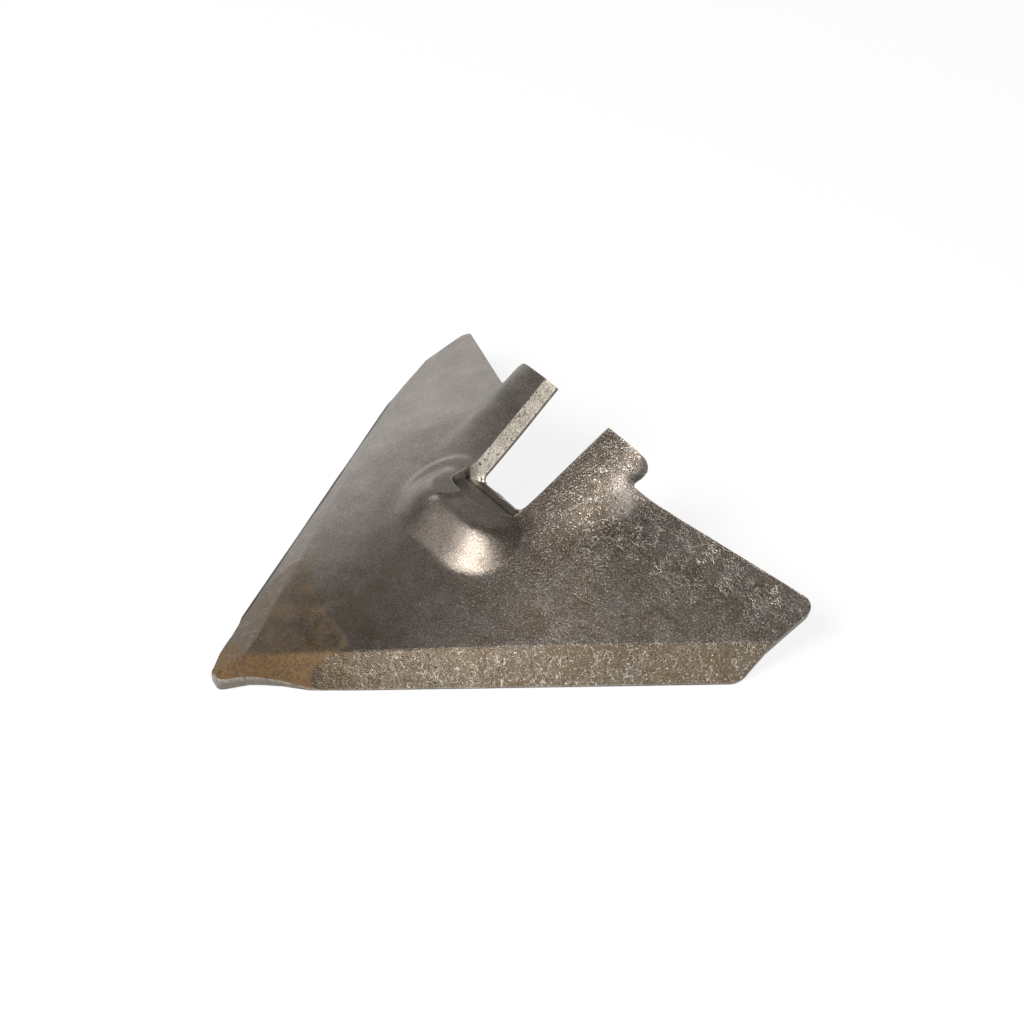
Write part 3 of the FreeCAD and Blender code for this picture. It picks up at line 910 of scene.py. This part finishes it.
@dataclass
class Blade:
    """The whole sweep: one pressed plate with ground edges, slot and seated hood."""

    form: PressedForm = field(default_factory=PressedForm)
    weathering: Weathering = field(default_factory=Weathering)
    wing_slope: float = 30.5
    stem_pitch: float = 35.3
    edge_length: float = 206.03
    # The ground edge keeps a thin land, and at the nose nearly all of the plate on the right.
    edge_land: float = 0.8
    nose_land_length: float = 27.0
    left_nose_land: float = 0.05
    nose_place: float = 8.8
    bevel_width: float = 14.5
    # Corners past the end of the cutting edge, and their radii on the right and on the left.
    wing_start: float = 46.0
    wing_corners: tuple[tuple[float, float], ...] = (
        (-3.5, 0.0), (6.8, 11.3), (27.8, 29.0), (-40.0, 76.4))
    wing_radii: tuple[tuple[float, ...], ...] = ((9, 6, 5, 0), (22, 20, 5, 0))
    slot_front: float = 50.0
    slot_half_front: float = 12.0
    slot_half_widening: float = 0.0769
    slot_corner: float = 3.5
    slot_bevel: float = 4.2
    slot_bevel_depth: float = 6.0
    slot_bevel_lead: float = 3.0
    # A shallow step crosses the seat just in front of the slot.
    ledge_place: float = 136.5
    ledge_half_width: float = 0.25
    ledge_depth: float = 0.9
    ledge_ends: tuple[float, float] = (-15.0, 13.6)
    # The rear left of the hood keeps the edge of the press tool as a soft swell.
    swell: Patch = Patch(-20.0, 126.0, 14.5, 0.8)
    swell_edge: float = 3.5
    tab_end: float = 96.6
    tab_half_span: float = 39.6
    left_tab_excess: float = 1.2
    seat_outline: tuple[tuple[float, float], ...] = (
        (-12.0, 140.4), (-15.6, 139.2), (-17.6, 136.2), (-17.9, 132.4), (-16.4, 129.0),
        (-12.6, 127.6), (-7.6, 127.0), (-2.2, 127.2), (3.4, 127.8), (8.4, 129.6), (12.6, 132.4),
        (15.4, 135.6), (15.8, 138.6), (13.4, 140.6), (11.0, 142.0), (11.0, 150.0),
        (-11.0, 150.0), (-11.0, 142.0),
    )
    seat_rim: float = 0.7
    top_round: float = 0.38
    foot_round: float = 0.3
    outline_step: float = 1.0
    seat_step: float = 0.8
    top_spacing: float = 0.9
    under_spacing: float = 2.2
    # Depth of the slow waves that pressing leaves, and of the roughness of the scale.
    waviness: float = 0.45
    scale_roughness: float = 0.10
    sharp_angle: float = 38.0

    def __post_init__(self) -> None:
        """Work out the directions of the wing and of the stem."""
        sine, cosine = HALF_POINT
        tilt, pitch = math.radians(self.wing_slope), math.radians(self.stem_pitch)
        self.along = (sine, cosine, 0.0)
        self.inward = (-cosine, sine)
        up = (-cosine * math.cos(tilt), sine * math.cos(tilt), math.sin(tilt))
        self.wing = PatternPlane((0, 0, 0), self.along, up)
        climb = (0.0, math.cos(pitch), math.sin(pitch))
        self.stem = PatternPlane((0, float(self.form.stem_root), 0), (1, 0, 0), climb)
        self.seat_loop = smooth_loop(self.seat_outline)

    def crease(self, along: Array) -> tuple[Array, Array]:
        """Where the ground bevel ends on the right wing.

        Args:
            along: Distances along the cutting edge.

        Returns:
            Distances inward from the edge, seen from above, and places in plan.
        """
        edge = along[:, None] * np.array(self.along[:2])
        half = self.bevel_width / 2
        probe = edge + half * np.array(self.inward)
        rise = self.form.front(probe[:, 0], probe[:, 1], 0.0)
        rise = rise - self.form.front(edge[:, 0], edge[:, 1], 0.0)
        thickness = float(self.form.plate_thickness)
        angle = np.arctan(rise / half) + math.atan((thickness - self.edge_land) / self.bevel_width)
        inset = self.bevel_width * np.cos(angle)
        return inset, edge + inset[:, None] * np.array(self.inward)

    def ground_away(self, x: Array, y: Array) -> Array:
        """Height that the grinding of the cutting edges takes off the pressed top face.

        Args:
            x: Places across.
            y: Places along.

        Returns:
            The heights taken off.
        """
        side = np.abs(x)
        along = side * self.along[0] + y * self.along[1]
        inset = side * self.inward[0] + y * self.inward[1]
        reach, crease = self.crease(along)
        edge = along[:, None] * np.array(self.along[:2])
        near_nose = np.exp(-(np.maximum(along - self.nose_place, 0) / self.nose_land_length) ** 2)
        extra = (float(self.form.plate_thickness) - 2 * self.edge_land) * near_nose
        land = self.edge_land + extra * np.where(x > 0, 1.0, self.left_nose_land)
        low = self.form.front(edge[:, 0], edge[:, 1], 0.0) + land
        high = self.form.top(crease[:, 0], crease[:, 1])
        plane = low + (high - low) * inset / reach
        return np.where(inset < reach, np.maximum(self.form.top(x, y) - plane, 0.0), 0.0)

    def slot_half(self, climb: Array | float) -> Array | float:
        """Half the width of the slot, so far up the stem."""
        return self.slot_half_front + self.slot_half_widening * (climb - self.slot_front)

    def bevelled_away(self, x: Array, y: Array) -> Array:
        """Height that the dovetail bevel takes off along the sides of the slot.

        Args:
            x: Places across.
            y: Places along.

        Returns:
            The heights taken off.
        """
        height = self.form.top(x, y)
        pitch = math.radians(self.stem_pitch)
        climb = (y - float(self.form.stem_root)) * math.cos(pitch) + height * math.sin(pitch)
        share = 1 - (np.abs(x) - self.slot_half(climb)) / self.slot_bevel
        begun = climb > self.slot_front - self.slot_bevel_lead
        return self.slot_bevel_depth * np.clip(share, 0, 1) * begun

    def seat(self, x: Array, y: Array) -> Array:
        """One where the level seat is cut into the hood, zero elsewhere."""
        return ramp(distance_to_loop(x, y, self.seat_loop), self.seat_rim)

    def taken(self, x: Array, y: Array) -> Array:
        """Everything that is ground and cut off the top face, less the swell beside the hood.

        Args:
            x: Places across.
            y: Places along.

        Returns:
            The heights taken off.
        """
        swell = self.swell
        inside = (swell.radius - np.hypot(x - swell.x, y - swell.y)) / self.swell_edge + 0.5
        inside = np.clip(inside, 0, 1)
        rise = swell.strength * inside ** 2 * (3 - 2 * inside)
        return np.maximum(self.ground_away(x, y), self.bevelled_away(x, y)) - rise

    def ledge(self, y: Array) -> Array:
        """How far the floor of the seat has stepped down."""
        past = (y - self.ledge_place) / (2 * self.ledge_half_width) + 0.5
        return self.ledge_depth * np.clip(past, 0, 1)

    def finished_top(self, x: Array, y: Array) -> Array:
        """Height of the top face once ground, slotted and seated.

        Args:
            x: Places across.
            y: Places along.

        Returns:
            The heights.
        """
        height = self.form.top(x, y) - self.taken(x, y)
        floor = float(self.form.seat_height) - self.ledge(y)
        return height + self.seat(x, y) * (floor - height)

    def outline(self) -> tuple[Array, Array]:
        """Walk round the blade from its nose, anticlockwise from above.

        Returns:
            The edge of the top face and the edge of the underside, point by point.
        """
        mouth = [Corner(self.slot_half(self.tab_end), self.tab_end, 0.6),
                 Corner(self.slot_half_front, self.slot_front, self.slot_corner),
                 Corner(0, self.slot_front)]
        # How far each corner of a tab's free side lies past its half span, how far up the stem,
        # and its radius.
        free = {
            1: [(-0.5, 85.6, 0), (-0.9, 86.6, 0.8), (-0.3, 89.5, 6), (0, self.tab_end, 5)],
            -1: [(-0.4, 86.7, 0), (0, 87.5, 1.2), (0, self.tab_end, 5)],
        }
        spans = {1: self.tab_half_span, -1: self.tab_half_span + self.left_tab_excess}
        # The worn front, from the middle of the nose to where the wing's plane takes over.
        fronts = {
            1: [(0.4, 9.3), (3.2, 8.85), (4.9, 9.4), (6.2, 11.4), (9.9, 19.0), (17.0, 28.6),
                (24.0, 36.0)],
            -1: [(-0.6, 9.5), (-2.6, 10.2), (-4.4, 11.4), (-6.0, 13.4), (-11.2, 19.0),
                 (-18.0, 28.6), (-24.0, 36.0)],
        }
        sides = {}
        for side, radii in zip((1, -1), self.wing_radii):
            ends = [Corner(self.edge_length + first, second, radius)
                    for (first, second), radius in zip(self.wing_corners, radii)]
            wing = [Corner(self.wing_start, 0)] + ends
            tab = [Corner(spans[side] + past, climb, radius) for past, climb, radius in free[side]]
            front = along_path(fronts[side], self.outline_step)
            faces = []
            for height in (self.finished_top, self.form.under):
                runs = [front]
                for plane, corners in ((self.wing, wing), (self.stem, tab + mouth)):
                    places = rounded(corners, self.outline_step)
                    runs.append(plane.meet(places, height, side))
                faces.append(np.concatenate(runs))
            sides[side] = faces
        top, foot = [np.concatenate([sides[1][i], sides[-1][i][-2::-1]]) for i in (0, 1)]
        return top, foot

    def creases(self) -> list[Array]:
        """Lines of the top face on which its slope changes at once.

        Returns:
            The lines, each a row of places for every point.
        """
        # Where the grinding ends on each wing, and between them the ridge down to the nose.
        step = self.outline_step
        _, line = self.crease(np.arange(self.nose_place + 10, self.edge_length + 40, step))
        line = line[line[:, 0] > 0.2]
        meeting = (0.0, line[0, 1] - 0.3)
        lines = [np.concatenate([[meeting], line * np.array([side, 1])]) for side in (1, -1)]
        lines.append(along_path([(0.0, 10.0), meeting], step))
        # The top of the slot's bevel, the rim and the floor of the seat, and the step across it.
        climb = np.arange(self.slot_front + 2.5, self.tab_end + 2, step)
        places = np.stack([self.slot_half(climb) + self.slot_bevel, climb], 1)
        lines += [self.stem.meet(places, self.form.top, side) for side in (1, -1)]
        for loop in (self.seat_loop, moved_in(self.seat_loop, self.seat_rim)):
            lines.append(along_path(loop, self.seat_step, closed=True))
        for edge in (-self.ledge_half_width, self.ledge_half_width):
            ends = [(end, self.ledge_place + edge) for end in self.ledge_ends]
            lines.append(along_path(ends, self.seat_step))
        return lines

    def shell(self) -> Shell:
        """Close the plate: its two filled faces, and between them the rings of its rim.

        Returns:
            The points and the faces of the plate, laid flat.
        """
        top, foot = self.outline()
        tuck, rise = self.top_round, self.foot_round
        upper, upper_faces, first_loop = filled(
            moved_in(top, tuck), self.creases(), self.top_spacing)
        lower, lower_faces, last_loop = filled(moved_in(foot, rise), [], self.under_spacing)
        # A rounded edge passes through a ring at 1 - sin 45 of its radius.
        bend = 0.29
        high, low = moved_in(top, tuck * bend), moved_in(foot, rise * bend)
        # Place and foot of each ring, its share of the way down, and its drop.
        rings = [
            (upper, upper, 0.0, 0.0),
            (high, high, 0.0, tuck * bend),
            (top, top, 0.0, tuck),
            (top, foot, 0.5, 0.0),
            (foot, foot, 1.0, -rise),
            (low, low, 1.0, -rise * bend),
            (lower, lower, 1.0, 0.0),
        ]
        places, feet, share, drop = zip(*rings)
        counts = [len(ring) for ring in places]
        starts = np.cumsum([0] + counts[:-1]).tolist()
        loops = [list(range(start, start + len(top))) for start in starts[1:-1]]
        loops = [first_loop, *loops, [starts[-1] + i for i in last_loop]]
        walls = []
        for outer, inner in zip(loops, loops[1:]):
            for i in range(len(top)):
                j = (i + 1) % len(top)
                walls.append((inner[i], inner[j], outer[j], outer[i]))
        below = [tuple(starts[-1] + i for i in reversed(face)) for face in lower_faces]
        return Shell(np.concatenate(places), np.concatenate(feet), np.repeat(share, counts),
                     np.repeat(drop, counts), upper_faces + walls + below, len(upper_faces),
                     len(walls))

    def flat_plate(self) -> bpy.types.Mesh:
        """Lay the plate out as seen from above, with what each point needs to be pressed.

        Returns:
            A closed mesh with named attributes on its points and faces.
        """
        shell = self.shell()
        flat = np.zeros((len(shell.places), 1))
        mesh = bpy.data.meshes.new("sweep")
        mesh.from_pydata(np.hstack([shell.places, flat]).tolist(), [], shell.faces)
        x, y = shell.places.T
        seat = self.seat(x, y)
        taken = self.taken(x, y) * (1 - seat) + self.ledge(y) * seat
        marks = {"share": shell.share, "drop": shell.drop, "taken": taken, "seat": seat}
        marks.update(self.weathering.masks(self, x, y, shell.share, shell.drop))
        for name, values in marks.items():
            layer = mesh.attributes.new(name, "FLOAT", "POINT")
            layer.data.foreach_set("value", np.asarray(values, np.float32))
        layer = mesh.attributes.new("foot", "FLOAT_VECTOR", "POINT")
        layer.data.foreach_set("vector", np.hstack([shell.feet, flat]).astype(np.float32).ravel())

        finish = np.zeros(len(shell.faces), np.int32)
        # Where less than this was taken off, in millimetres, the skin of the plate is left.
        worked = 0.02
        ground = self.ground_away(x, y) > worked
        bevelled = (self.bevelled_away(x, y) > worked) & (seat < 0.5)
        for i, face in enumerate(shell.faces[:shell.upper_count]):
            corners = list(face)
            if ground[corners].any():
                finish[i] = Finish.GROUND
            elif bevelled[corners].any():
                finish[i] = Finish.MILLED
        rim = slice(shell.upper_count, shell.upper_count + shell.rim_count)
        finish[rim] = Finish.CUT
        layer = mesh.attributes.new("finish", "INT", "FACE")
        layer.data.foreach_set("value", finish)
        log.info("flat plate: %d points, %d faces", len(x), len(shell.faces))
        return mesh

    def press_inputs(self) -> dict[str, float]:
        """Inputs of the pressing tree, in their order.

        Returns:
            Their values by name.
        """
        inputs = {f.name: float(getattr(self.form, f.name)) for f in fields(self.form)}
        inputs["waviness"] = self.waviness
        inputs["scale_roughness"] = self.scale_roughness
        inputs["seed"] = float(SEED)
        return inputs

    def pressing(self, finishes: dict[Finish, bpy.types.Material]) -> Tree:
        """Build the tree that presses the flat plate to its form and dresses its faces.

        Args:
            finishes: Material for each finish.

        Returns:
            A Geometry Nodes tree with the sizes of the form as named inputs.
        """
        tree = bpy.data.node_groups.new("pressing", "GeometryNodeTree")
        tree.interface.new_socket("Plate", in_out="INPUT", socket_type="NodeSocketGeometry")
        tree.interface.new_socket("Sweep", in_out="OUTPUT", socket_type="NodeSocketGeometry")
        names = list(self.press_inputs())
        for name in names:
            label = name.replace("_", " ").capitalize()
            tree.interface.new_socket(label, in_out="INPUT", socket_type="NodeSocketFloat")
        given = add_node(tree, "NodeGroupInput").outputs
        sizes = {name: NodeValue(tree, given[i + 1]) for i, name in enumerate(names)}
        form = replace(self.form, **{f.name: sizes[f.name] for f in fields(self.form)})
        stored = {}
        kinds = {"foot": "FLOAT_VECTOR", "finish": "INT"}
        for name in ("share", "drop", "taken", "seat", "foot", "finish"):
            settings = {"data_type": kinds.get(name, "FLOAT")}
            node = add_node(tree, "GeometryNodeInputNamedAttribute", settings, {"Name": name})
            stored[name] = NodeValue(tree, node.outputs[0])

        position = add_node(tree, "GeometryNodeInputPosition").outputs[0]
        spots = []
        for place in (position, stored["foot"]):
            parts = add_node(tree, "ShaderNodeSeparateXYZ", {}, {0: place}).outputs
            spots.append([NodeValue(tree, part) for part in parts])
        (x, y, _), (foot_x, foot_y, _) = spots
        share = stored["share"]
        height = form.top(x, y)
        height = height + stored["seat"] * (form.seat_height - height) - stored["taken"]
        foot = form.under(foot_x, foot_y)
        parts = [x + share * (foot_x - x), y + share * (foot_y - y),
                 height + share * (foot - height) - stored["drop"]]
        parts = [(part - centre) * MILLIMETRE for part, centre in zip(parts, FRAME_CENTRE)]
        pressed = add_node(tree, "ShaderNodeCombineXYZ", {}, dict(enumerate(parts)))
        inputs = {"Geometry": given[0], "Position": pressed.outputs[0]}
        piece = add_node(tree, "GeometryNodeSetPosition", {}, inputs)

        # An uneven face misses some metal, in features of these sizes in millimetres.
        sunk = 0.0
        for depth, size in (("waviness", 32.0), ("scale_roughness", 4.0)):
            inputs = {"Vector": position, "W": sizes["seed"], "Scale": 1 / (size * MILLIMETRE),
                      "Detail": 2.0}
            noise = add_node(tree, "ShaderNodeTexNoise", {"noise_dimensions": "4D"}, inputs)
            sunk = NodeValue(tree, noise.outputs[0]) * sizes[depth] + sunk
        inputs = {0: add_node(tree, "GeometryNodeInputNormal").outputs[0],
                  "Scale": sunk * -MILLIMETRE}
        offset = add_node(tree, "ShaderNodeVectorMath", {"operation": "SCALE"}, inputs)
        inputs = {"Geometry": piece.outputs[0], "Offset": offset.outputs[0]}
        piece = add_node(tree, "GeometryNodeSetPosition", {}, inputs)
        piece = add_node(tree, "GeometryNodeRealizeInstances", {}, {0: piece.outputs[0]})
        for finish, material in finishes.items():
            chosen = add_node(tree, "FunctionNodeCompare",
                              {"data_type": "INT", "operation": "EQUAL"},
                              {2: stored["finish"], 3: int(finish)})
            inputs = {"Geometry": piece.outputs[0], "Selection": chosen.outputs[0],
                      "Material": material}
            piece = add_node(tree, "GeometryNodeSetMaterial", {}, inputs)
        add_node(tree, "NodeGroupOutput", {}, {0: piece.outputs[0]})
        return tree

    def build(self) -> bpy.types.Object:
        """Press, dress and place the blade.

        Returns:
            The finished piece.
        """
        blade = linked("sweep_blade", self.flat_plate())
        tree = self.pressing({
            Finish.SKIN: PRESSED_SKIN.material(),
            Finish.GROUND: GROUND_BEVEL.material(),
            Finish.CUT: CUT_EDGE.material(),
            Finish.MILLED: MILLED_BEVEL.material(),
        })
        modifier = blade.modifiers.new("pressing", "NODES")
        modifier.node_group = tree
        values = self.press_inputs()
        for item in tree.interface.items_tree:
            name = item.name.lower().replace(" ", "_")
            if item.in_out == "INPUT" and name in values:
                modifier[item.identifier] = values[name]
        graph = bpy.context.evaluated_depsgraph_get()
        made = bpy.data.meshes.new_from_object(
            blade.evaluated_get(graph), preserve_all_data_layers=True, depsgraph=graph)
        blade.modifiers.remove(modifier)
        blade.data = made
        for polygon in made.polygons:
            polygon.use_smooth = True
        made.set_sharp_from_angle(angle=math.radians(self.sharp_angle))
        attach(blade, "root")
        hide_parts("sweep")
        log.info("blade: %d triangles", sum(len(p.vertices) - 2 for p in made.polygons))
        return blade


def away_from_blade(azimuth: float, elevation: float) -> Vector:
    """Unit vector from the blade, by degrees round it from its nose and above the ground."""
    a, e = math.radians(azimuth), math.radians(elevation)
    return Vector((math.sin(a) * math.cos(e), -math.cos(a) * math.cos(e), math.sin(e)))


@dataclass(frozen=True)
class Lamp:
    """A soft square lamp that faces the blade. Distance and size are metres, power is watts."""

    name: str
    azimuth: float
    elevation: float
    distance: float
    size: float
    power: float

    def build(self) -> bpy.types.Object:
        """Hang the lamp.

        Returns:
            The lamp.
        """
        data = bpy.data.lights.new(self.name, "AREA")
        data.shape, data.size, data.energy = "SQUARE", self.size, self.power
        lamp = linked(self.name, data)
        away = away_from_blade(self.azimuth, self.elevation)
        lamp.location = away * self.distance
        lamp.rotation_euler = away.to_track_quat("Z", "Y").to_euler()
        return lamp


@dataclass(frozen=True)
class Studio:
    """A pale floor under soft studio light, and the camera."""

    camera_azimuth: float = 52.335
    camera_elevation: float = 37.465
    camera_distance: float = 1122.73
    camera_target: tuple[float, float, float] = (0.231, 38.562, 20.0)
    camera_roll: float = 0.02889
    lens: float = 101.949
    floor_reach: float = 6.0
    floor_level: float = -0.0002
    # Share of the floor that is plain white to the camera. The rest is paper with the shadow.
    floor_white: float = 0.86
    # The white backdrop ends between these heights, as sines, and the ceiling above is dim.
    backdrop_low: float = 0.2
    backdrop_high: float = 0.7
    ceiling: float = 0.3
    # It stands beside and behind the blade, and the room in front is dimmer.
    room_front: float = -0.35
    room_behind: float = 0.1
    room_in_front: float = 0.45
    room_light: float = 0.55
    lamps: tuple[Lamp, ...] = (
        Lamp("key from the front", 9, 44, distance=1.5, size=0.8, power=42),
        Lamp("second lamp beside the camera", 62, 34, distance=1.6, size=0.4, power=5),
        Lamp("fill from the left rear", -105, 10, distance=2, size=1, power=4),
    )

    def build_floor(self) -> bpy.types.Object:
        """Lay the floor: white to the camera, with the blade's shadow on it.

        Returns:
            The floor.
        """
        mesh = bpy.data.meshes.new("floor")
        corners = [(x * self.floor_reach, y * self.floor_reach, self.floor_level)
                   for x, y in ((-1, -1), (1, -1), (1, 1), (-1, 1))]
        mesh.from_pydata(corners, [], [(0, 1, 2, 3)])
        floor = linked("floor", mesh)
        # Matt white paper: keeps soft shadows and throws pale light back.
        made = bpy.data.materials.new("matt white paper")
        tree = cleared(made)
        inputs = {"Base Color": linear("#f4f3f1"), "Roughness": 0.9}
        paper = add_node(tree, "ShaderNodeBsdfPrincipled", {}, inputs).outputs[0]
        inputs = {"Color": (1, 1, 1, 1), "Strength": 1.0}
        white = add_node(tree, "ShaderNodeEmission", {}, inputs).outputs[0]
        path = add_node(tree, "ShaderNodeLightPath").outputs
        seen = NodeValue(tree, path["Is Camera Ray"]) * self.floor_white
        mixed = add_node(tree, "ShaderNodeMixShader", {}, {0: seen, 1: paper, 2: white})
        add_node(tree, "ShaderNodeOutputMaterial", {}, {"Surface": mixed.outputs[0]})
        mesh.materials.append(made)
        return floor

    def build_world(self) -> None:
        """Set the world: white where it is seen or mirrored, a plain level as light."""
        world = bpy.data.worlds.new("studio")
        tree = cleared(world)
        path = add_node(tree, "ShaderNodeLightPath").outputs
        kinds = ("Camera", "Transmission", "Glossy")
        seen, through, glossy = (NodeValue(tree, path[f"Is {kind} Ray"]) for kind in kinds)
        seen = np.maximum(seen, through)
        place = add_node(tree, "ShaderNodeTexCoord").outputs["Generated"]
        _, rear, height = add_node(tree, "ShaderNodeSeparateXYZ", {}, {0: place}).outputs
        low = 1.0 - NodeValue(tree, height).between(self.backdrop_low, self.backdrop_high)
        behind = NodeValue(tree, rear).between(self.room_front, self.room_behind)
        backdrop = low * (behind * (1.0 - self.room_in_front) + self.room_in_front)
        mirrored = backdrop * (1.0 - self.ceiling) + self.ceiling
        lit = mirrored * (glossy * (1.0 - self.room_light) + self.room_light)
        inputs = {"Color": (1, 1, 1, 1), "Strength": seen + (1.0 - seen) * lit}
        back = add_node(tree, "ShaderNodeBackground", {}, inputs)
        add_node(tree, "ShaderNodeOutputWorld", {}, {"Surface": back.outputs[0]})
        bpy.context.scene.world = world

    def build_camera(self) -> bpy.types.Object:
        """Stand the camera where the photograph was taken.

        Returns:
            The camera.
        """
        data = bpy.data.cameras.new("camera")
        data.lens = self.lens
        data.sensor_width = 36.0
        data.clip_start, data.clip_end = 0.05, 50.0
        camera = linked("camera", data)
        back = away_from_blade(self.camera_azimuth, self.camera_elevation)
        place = (Vector(self.camera_target) + back * self.camera_distance) * MILLIMETRE
        right = (-back).cross(Vector((0, 0, 1))).normalized()
        up = right.cross(-back)
        cosine, sine = math.cos(self.camera_roll), math.sin(self.camera_roll)
        turned, upright = right * cosine + up * sine, up * cosine - right * sine
        rows = [[turned[i], upright[i], back[i], place[i]] for i in range(3)]
        camera.matrix_world = Matrix([*rows, [0, 0, 0, 1]])
        bpy.context.scene.camera = camera
        return camera

    def build(self) -> None:
        """Set up floor, world, lamps and camera."""
        self.build_floor()
        self.build_world()
        for lamp in self.lamps:
            lamp.build()
        self.build_camera()
        bpy.context.scene.view_settings.view_transform = "Standard"


def main() -> None:
    """Build the blade and the studio."""
    logging.basicConfig(level=logging.INFO)
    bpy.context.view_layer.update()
    Blade().build()
    Studio().build()


if __name__ == "__main__":
    main()
